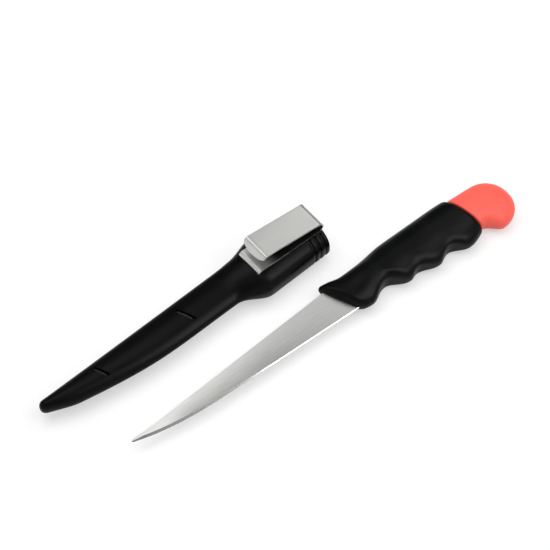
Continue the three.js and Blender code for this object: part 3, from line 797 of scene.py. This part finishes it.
def clip_line():
    hook_centre = Vector((CLIP_FRONT + HOOK_RADIUS, 0.0, BASE_Z + SHEET - HOOK_RADIUS))
    hook = arc(hook_centre, HOOK_RADIUS - SHEET, 180.0, 90.0)
    foot = hook[0] - Vector((0.0, 0.0, HOOK_LENGTH))
    leaf_up = 90.0 - CLIP_OPENING
    bend_centre = Vector((CLIP_END - BEND_RADIUS, 0.0, BASE_Z + BEND_RADIUS))
    bend = arc(bend_centre, BEND_RADIUS, -90.0, leaf_up)
    leaf_end = bend[-1] + LEAF_LENGTH * direction(leaf_up + 90.0)
    fold = arc(leaf_end - LIP_RADIUS * direction(leaf_up), LIP_RADIUS, leaf_up, leaf_up + LIP_TURN)
    base, leaf = straight(hook[-1], bend[0]), straight(bend[-1], leaf_end)
    return [foot] + hook + base + bend + leaf + fold


line = clip_line()
fold_end = line[-1]
print(f"clip line: {len(line)} points, fold at {[round(c, 1) for c in fold_end]}")

# %% Clip strip
CLIP_WIDTH = 17.8
ACROSS_STEPS = 28
LIP_LENGTH, LIP_STEPS = 3.8, 6
TONGUE_DEPTH = 3.0
lip_way = direction(180.0 - CLIP_OPENING + LIP_TURN)
across_turns = [(k / ACROSS_STEPS - 0.5) * math.pi for k in range(ACROSS_STEPS + 1)]
across = [CLIP_WIDTH / 2 * math.sin(turn) for turn in across_turns]


def clip_chain(bm, past_fold):
    chain = [bm.verts.new(point) for point in line]
    for k in range(LIP_STEPS):
        reach = LIP_LENGTH * (k + 1) / LIP_STEPS
        chain.append(bm.verts.new(fold_end + reach * lip_way))
        chain[-1][past_fold] = reach / LIP_LENGTH
    bmesh.ops.translate(bm, vec=Vector((0.0, across[0], 0.0)), verts=chain)
    return [bm.edges.new(pair) for pair in zip(chain, chain[1:])]


def clip_sheet():
    bm = bmesh.new()
    past_fold = bm.verts.layers.float.new("past_fold")
    rim = clip_chain(bm, past_fold)
    for before, after in zip(across, across[1:]):
        fresh, rim = extrude_rim(bm, rim)
        bmesh.ops.translate(bm, vec=Vector((0.0, after - before, 0.0)), verts=list(fresh))
    for vert in bm.verts:
        off_middle = min(abs(vert.co.y) / (CLIP_WIDTH / 2), 1.0)
        drawn_back = TONGUE_DEPTH * (1 - math.sqrt(1 - off_middle**2))
        vert.co -= vert[past_fold] * drawn_back * lip_way
    return bm


bm = clip_sheet()
print(f"clip sheet: {len(bm.faces)} faces before it gets its thickness")

# %% Clip thickness
RIM_BEVEL, RIM_ANGLE = 0.25, math.radians(50.0)

bmesh.ops.recalc_face_normals(bm, faces=bm.faces)
bmesh.ops.solidify(bm, geom=bm.faces[:], thickness=SHEET)
bmesh.ops.recalc_face_normals(bm, faces=bm.faces)
rim = [e for e in bm.edges if e.is_manifold and e.calc_face_angle() > RIM_ANGLE]
bevel_edges(bm, rim, RIM_BEVEL)
print(f"clip: {len(rim)} rim edges bevelled")

# %% [markdown]
# The outside of the strip is brushed bright. The inside, in shade under the leaf and in the bend,
# is painted dark as painted shade. So the faces inside get a finish of their own, and a layer
# fades the painted shade out towards the lip, where the inside is as bright as the rest.

# %% Clip inside
FACES_DOWN, FACES_IN, FACES_UP = -0.3, -0.3, 0.9
OVER_BASE = 0.2
INSIDE_SHADE_STARTS, INSIDE_SHADE_FULL = 1.0, 12.0
base_top = BASE_Z + SHEET


def is_inside(face):
    middle = face.calc_center_median()
    over_base = middle.z > base_top + OVER_BASE
    under_leaf = face.normal.z < FACES_DOWN and over_base
    in_bend = face.normal.x < FACES_IN and middle.x > CLIP_END - BEND_RADIUS
    on_base = face.normal.z > FACES_UP and not over_base
    return under_leaf or in_bend or on_base


# Painted shade: faces under the leaf, in the bend and on the base get the dark inside finish.
for face in bm.faces:
    face.material_index = int(is_inside(face))
inside_shade = bm.verts.layers.float.new("inside_shade")
for vert in bm.verts:
    vert[inside_shade] = ease(fold_end.x + INSIDE_SHADE_STARTS, fold_end.x + INSIDE_SHADE_FULL, vert.co.x)
print(f"clip: {sum(face.material_index for face in bm.faces)} of {len(bm.faces)} faces are inside")

# %% [markdown]
# The neck runs at a slant, so the clip is turned a little about its middle to lie along it.

# %% Clip piece
CLIP_TURN, CLIP_OFFSET = math.radians(4.0), 0.7
CLIP_CREASE = 30.0
clip_pivot = (CLIP_FRONT + CLIP_END) / 2
clip_middle = hollow_middle(clip_pivot) + CLIP_OFFSET
turned = Matrix.Translation((clip_pivot, clip_middle, 0.0)) @ Matrix.Rotation(CLIP_TURN, 4, "Z")
bmesh.ops.transform(bm, matrix=turned @ Matrix.Translation((-clip_pivot, 0.0, 0.0)), verts=bm.verts)
clip = make_piece(bm, "belt_clip", SHEATH_PLACE, CLIP_CREASE)
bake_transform(clip)
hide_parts("clip_base", "clip_leaf")

# %% [markdown]
# ## Finishes
#
# Each finish is a Principled shader whose roughness, bump and colour come from noise on Object
# coordinates, so the grain keeps its real size wherever the piece is seen from. Image textures
# would need unwrapping and would blur up close. `grain` makes the noise: a different scale
# along X, Y and Z turns it into brush marks.

# %% Finish helpers
def new_finish(name):
    material = bpy.data.materials.new(name)
    material.use_nodes = True
    print(f"finish: {name}")
    return material, material.node_tree, material.node_tree.nodes["Principled BSDF"]


def grain(tree, scale, detail):
    coordinates = tree.nodes.new("ShaderNodeTexCoord")
    mapping = tree.nodes.new("ShaderNodeMapping")
    mapping.inputs["Scale"].default_value = scale
    noise = tree.nodes.new("ShaderNodeTexNoise")
    noise.inputs["Scale"].default_value = 1.0
    noise.inputs["Detail"].default_value = detail
    tree.links.new(coordinates.outputs["Object"], mapping.inputs["Vector"])
    tree.links.new(mapping.outputs["Vector"], noise.inputs["Vector"])
    return noise.outputs["Fac"]


print("materials in the frame:", len(bpy.data.materials))

# %% [markdown]
# Noise rarely leaves the middle of its range. `ranged` stretches that middle over two numbers,
# and `tinted` stretches it over two colours.

# %% Noise to numbers and colours
NOISE_LOW, NOISE_HIGH = 0.3, 0.7


def ranged(tree, source, low, high, start=NOISE_LOW, end=NOISE_HIGH):
    node = tree.nodes.new("ShaderNodeMapRange")
    node.inputs["From Min"].default_value = start
    node.inputs["From Max"].default_value = end
    node.inputs["To Min"].default_value = low
    node.inputs["To Max"].default_value = high
    tree.links.new(source, node.inputs["Value"])
    return node.outputs["Result"]


def tinted(tree, source, first, second, start=NOISE_LOW, end=NOISE_HIGH):
    ramp = tree.nodes.new("ShaderNodeValToRGB")
    for stop, position, colour in zip(ramp.color_ramp.elements, (start, end), (first, second)):
        stop.position = position
        stop.color = (*colour, 1.0)
    tree.links.new(source, ramp.inputs["Fac"])
    return ramp.outputs["Color"]


print(f"noise from {NOISE_LOW} to {NOISE_HIGH} fills a range")

# %% [markdown]
# ### Brushed steel
#
# Blade and clip are finished on a belt, so very fine marks run along them. The same noise sets
# the roughness and a faint bump. Where a piece has a layer of its own, the colour follows that
# layer, and the marks break up the change: the blade's ground side gets painted shade, darker
# towards the edge, and the inside of the clip gets painted shade that darkens away from its lip.
# The honed edge is smoother.

# %% Brush marks
BRUSH_SCALE, BRUSH_DETAIL = (90.0, 2600.0, 2600.0), 3.0
MARK_SHIFT = 0.15


def bumped(tree, shader, source, strength, depth):
    bump = tree.nodes.new("ShaderNodeBump")
    bump.inputs["Strength"].default_value = strength
    bump.inputs["Distance"].default_value = depth
    tree.links.new(source, bump.inputs["Height"])
    tree.links.new(bump.outputs["Normal"], shader.inputs["Normal"])


def combined(tree, operation, first, second):
    node = tree.nodes.new("ShaderNodeMath")
    node.operation = operation
    tree.links.new(first, node.inputs[0])
    tree.links.new(second, node.inputs[1])
    return node.outputs["Value"]


def layer_share(tree, layer_name, marks):
    layer = tree.nodes.new("ShaderNodeAttribute")
    layer.attribute_name = layer_name
    return combined(tree, "ADD", layer.outputs["Fac"], ranged(tree, marks, -MARK_SHIFT, MARK_SHIFT))


mark_length, mark_width, _ = (1 / scale / MM for scale in BRUSH_SCALE)
print(f"brush marks: about {mark_length:.0f} mm long and {mark_width:.1f} mm wide")

# %% Brushed steel
BRUSH_STRENGTH, BRUSH_DEPTH = 0.04, 0.00002
CLOUD_SCALE, CLOUD_DETAIL = (30.0, 90.0, 90.0), 2.0
LAYER_STARTS, LAYER_FULL = 0.05, 0.95


def brushed_steel(name, dark, light, smoothest, roughest, layer_name=None):
    material, tree, shader = new_finish(name)
    shader.inputs["Metallic"].default_value = 1.0
    marks = grain(tree, BRUSH_SCALE, BRUSH_DETAIL)
    if layer_name is None:
        colour = tinted(tree, grain(tree, CLOUD_SCALE, CLOUD_DETAIL), dark, light)
    else:
        along_layer = layer_share(tree, layer_name, marks)
        colour = tinted(tree, along_layer, light, dark, LAYER_STARTS, LAYER_FULL)
    tree.links.new(colour, shader.inputs["Base Color"])
    tree.links.new(ranged(tree, marks, smoothest, roughest), shader.inputs["Roughness"])
    bumped(tree, shader, marks, BRUSH_STRENGTH, BRUSH_DEPTH)
    return material


satin_steel = brushed_steel("satin_steel", (0.74, 0.74, 0.72), (0.79, 0.79, 0.77), 0.29, 0.35)
# Painted shade: the blade's ground side darkens towards the edge along the layer.
ground_steel_painted_shade = brushed_steel(
    "ground_steel_painted_shade", (0.48, 0.48, 0.465), (0.8, 0.8, 0.78), 0.3, 0.35, layer_name="painted_shade",
)
honed_edge = brushed_steel("honed_edge", (0.74, 0.74, 0.72), (0.80, 0.80, 0.78), 0.18, 0.24)
spring_steel = brushed_steel("spring_steel", (0.70, 0.705, 0.68), (0.76, 0.765, 0.74), 0.32, 0.38)
# Painted shade for the clip's inside: dark away from the lip, pale near it.
painted_shade_inside = brushed_steel(
    "painted_shade_inside", (0.05, 0.05, 0.047), (0.72, 0.725, 0.7), 0.36, 0.44, layer_name="inside_shade",
)

# %% [markdown]
# A mesh's faces point at their finish by number. Clearing the list of materials sets every
# number to 0, so `dress` keeps the numbers and puts them back.

# %% Dress the steel
def dress(piece, *finishes):
    kept = [face.material_index for face in piece.data.polygons]
    piece.data.materials.clear()
    for finish in finishes:
        piece.data.materials.append(finish)
    piece.data.polygons.foreach_set("material_index", kept)
    print(f"{piece.name} wears {[finish.name for finish in finishes]}")


dress(blade, ground_steel_painted_shade, honed_edge)
dress(clip, spring_steel, painted_shade_inside)
for node in ("clip_rivet_1", "clip_rivet_2"):
    dress(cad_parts[node], satin_steel)

# %% [markdown]
# ### Moulded black and coral
#
# The mould's surface leaves a very fine grain, and handling polishes it unevenly: fine noise
# for the bump, slow noise for the roughness and the colour. The blacks are so dark that mostly
# their gloss shows. A low index of refraction keeps it as weak as on the real, finely textured
# moulding. The beads by the slits are painted paler, a painted highlight, and mirror more.

# %% Moulded finishes
FINE_SCALE, SLOW_SCALE, MOULD_DETAIL = (1500.0, 1500.0, 1500.0), (70.0, 110.0, 110.0), 3.0
MOULD_STRENGTH, MOULD_DEPTH = 0.2, 0.00003


def moulded(name, dark, light, smoothest, roughest, ior):
    material, tree, shader = new_finish(name)
    shader.inputs["IOR"].default_value = ior
    fine = grain(tree, FINE_SCALE, MOULD_DETAIL)
    slow = grain(tree, SLOW_SCALE, MOULD_DETAIL)
    tree.links.new(tinted(tree, slow, dark, light), shader.inputs["Base Color"])
    tree.links.new(ranged(tree, slow, smoothest, roughest), shader.inputs["Roughness"])
    bumped(tree, shader, fine, MOULD_STRENGTH, MOULD_DEPTH)
    return material


black_grip = moulded(
    "black_grip", (0.0016, 0.002, 0.0018), (0.0026, 0.0031, 0.0028), 0.28, 0.34, ior=1.21,
)
black_sheath = moulded(
    "black_sheath", (0.0014, 0.0016, 0.0013), (0.0024, 0.0027, 0.0023), 0.28, 0.34, ior=1.21,
)
# Painted highlight: the beads are painted paler than the shell and mirror more.
bead_painted_highlight = moulded("bead_painted_highlight", (0.004, 0.0042, 0.004), (0.006, 0.0062, 0.006), 0.3, 0.36, ior=1.5)
coral_float = moulded("coral_float", (0.87, 0.101, 0.073), (0.92, 0.111, 0.08), 0.44, 0.54, ior=1.44)
dress(handle, black_grip)
dress(sheath, black_sheath, bead_painted_highlight)
dress(float_butt, coral_float)

# %% [markdown]
# ## Table
#
# The table is plain white. More light would whiten it, but also the object. Instead, for rays
# that come straight from the camera, half of its white is given as emission. The other half
# still takes the shadows. Farther from the object it fades to pure white, and in mirrored rays
# too, so that steel shows a white table but the gloss of the blacks stays dark close by.

# %% Table
FLOOR_HALF, FLOOR_CELLS = 12.0, 4
bm = bmesh.new()
bmesh.ops.create_grid(bm, x_segments=FLOOR_CELLS, y_segments=FLOOR_CELLS, size=FLOOR_HALF)
mesh = bpy.data.meshes.new("table")
bm.to_mesh(mesh)
bm.free()
table = bpy.data.objects.new("table", mesh)
bpy.context.scene.collection.objects.link(table)
print(f"table: {2 * FLOOR_HALF:.0f} m across")

# %% Table finish
TABLE_WHITE, TABLE_ROUGHNESS = 0.9, 0.8
TABLE_LIFT = 0.5
FADE_START, FADE_END = 0.3, 0.9
MIRROR_START, MIRROR_END = 0.2, 0.7


def from_middle(tree):
    length = tree.nodes.new("ShaderNodeVectorMath")
    length.operation = "LENGTH"
    coordinates = tree.nodes.new("ShaderNodeTexCoord")
    tree.links.new(coordinates.outputs["Object"], length.inputs[0])
    return length.outputs["Value"]


def mixed(tree, part, first, second):
    both = tree.nodes.new("ShaderNodeMixShader")
    for source, socket in zip((part, first, second), both.inputs):
        tree.links.new(source, socket)
    return both.outputs["Shader"]


def table_finish():
    material, tree, shader = new_finish("white_table")
    shader.inputs["Base Color"].default_value = (TABLE_WHITE, TABLE_WHITE, TABLE_WHITE, 1.0)
    shader.inputs["Roughness"].default_value = TABLE_ROUGHNESS
    shader.inputs["Specular IOR Level"].default_value = 0.0
    rays = tree.nodes.new("ShaderNodeLightPath").outputs
    away = from_middle(tree)
    lift = ranged(tree, away, TABLE_LIFT, 1.0, FADE_START, FADE_END)
    mirror_lift = ranged(tree, away, 0.0, 1.0, MIRROR_START, MIRROR_END)
    by_mirror = combined(tree, "MAXIMUM", rays["Is Glossy Ray"], rays["Is Transmission Ray"])
    lift = combined(tree, "MULTIPLY", rays["Is Camera Ray"], lift)
    mirror_lift = combined(tree, "MULTIPLY", by_mirror, mirror_lift)
    white = tree.nodes.new("ShaderNodeEmission")
    emitted = combined(tree, "ADD", lift, mirror_lift)
    surface = mixed(tree, emitted, shader.outputs["BSDF"], white.outputs["Emission"])
    tree.links.new(surface, tree.nodes["Material Output"].inputs["Surface"])
    return material


dress(table, table_finish())

# %% [markdown]
# ## Lights
#
# Steel and gloss show what they mirror. One large lamp would do for the shadows, but not for the
# slow change from pale to grey along the blade. So the key light hangs high, gives the shadows
# and isn't mirrored. The others are dimmer soft panels, most of them some 0.6 m above the table,
# each where one surface mirrors it to the camera: behind for the blade and the clip's leaf, at
# the right and overhead for the handle, in front for the bevel and the sheath's rounded sides,
# and at the left for the clip's fold and the sheath's tip.

# %% Soft lights
soft_panels = [
    ("back_light", (0.05, 0.26, 0.62), (0.3, 0.28), 0.5),
    ("back_left_light", (0.02, 0.26, 0.64), (0.24, 0.28), 0.88),
    ("back_right_light", (0.53, 0.39, 0.62), (0.3, 0.26), 1.15),
    ("right_light", (0.45, 0.03, 0.62), (0.32, 0.28), 2.2),
    ("over_light", (0.03, -0.1, 0.62), (0.2, 0.1), 1.4),
    ("front_light", (0.28, -0.33, 0.62), (0.26, 0.5), 4.2),
    ("fold_light", (-0.2, 0.36, 0.62), (0.22, 0.1), 4.0),
    ("left_light", (-0.95, 0.58, 0.5), (0.7, 0.5), 0.7),
]


def soft_light(name, at, size, brightness):
    light = bpy.data.objects.new(name, bpy.data.lights.new(name, "AREA"))
    light.data.shape = "RECTANGLE"
    light.data.size, light.data.size_y = size
    light.data.energy = brightness * math.pi * size[0] * size[1]
    light.location = at
    light.rotation_euler = Vector(at).to_track_quat("Z", "Y").to_euler()
    bpy.context.scene.collection.objects.link(light)
    print(f"{name}: {light.data.energy:.2f} W")
    return light


for panel in soft_panels:
    soft_light(*panel)
key_light = soft_light("key_light", (-0.2, 0.25, 1.2), (0.9, 0.9), 2.6)
key_light.visible_glossy = False

# %% [markdown]
# ## Surroundings
#
# The world fills the shadows with an even grey and is white to the camera. What gloss mirrors is
# a plain room: dim overhead and darker at the horizon, which keeps the walls of the finger
# hollows dark, with pale walls all round except on the spine side, so that steel stays bright
# from every other side.

# %% Surroundings helpers
world = bpy.data.worlds.new("surround")
world.use_nodes = True
sky = world.node_tree
sky.nodes.remove(sky.nodes["Background"])


def glow(grey):
    background = sky.nodes.new("ShaderNodeBackground")
    background.inputs["Color"].default_value = (grey, grey, grey, 1.0)
    return background


def facing(heading, side):
    product = sky.nodes.new("ShaderNodeVectorMath")
    product.operation = "DOT_PRODUCT"
    product.inputs[1].default_value = side
    sky.links.new(heading, product.inputs[0])
    return product.outputs["Value"]


print("new world:", world.name)

# %% Surroundings
FILL, PALE_WALL, WHITE = 0.4, 0.6, 1.0
HORIZON, OVERHEAD = 0.02, 0.13
HORIZON_TOP, OVERHEAD_START = 0.15, 0.5
WALL_TOP, WALL_GONE = 0.55, 0.8
DARK_SIDE = Vector((0.2, 0.98, 0.0))
DARK_STARTS, DARK_FULL = -0.1, 0.5

heading = sky.nodes.new("ShaderNodeTexCoord").outputs["Generated"]
upwards = facing(heading, Vector((0.0, 0.0, 1.0)))
dim = glow(OVERHEAD)
dimming = tinted(sky, upwards, (HORIZON,) * 3, (OVERHEAD,) * 3, HORIZON_TOP, OVERHEAD_START)
sky.links.new(dimming, dim.inputs["Color"])
pale = combined(
    sky, "MULTIPLY",
    ranged(sky, facing(heading, DARK_SIDE), 1.0, 0.0, DARK_STARTS, DARK_FULL),
    ranged(sky, upwards, 1.0, 0.0, WALL_TOP, WALL_GONE),
)
rays = sky.nodes.new("ShaderNodeLightPath").outputs
room = mixed(sky, pale, dim.outputs[0], glow(PALE_WALL).outputs[0])
seen = mixed(sky, rays["Is Glossy Ray"], glow(FILL).outputs[0], room)
seen = mixed(sky, rays["Is Camera Ray"], seen, glow(WHITE).outputs[0])
sky.links.new(seen, sky.nodes["World Output"].inputs["Surface"])
bpy.context.scene.world = world
bpy.context.scene.view_settings.view_transform = "Standard"
print(f"world: fill {FILL}, walls {PALE_WALL}, overhead {OVERHEAD}, horizon {HORIZON}")
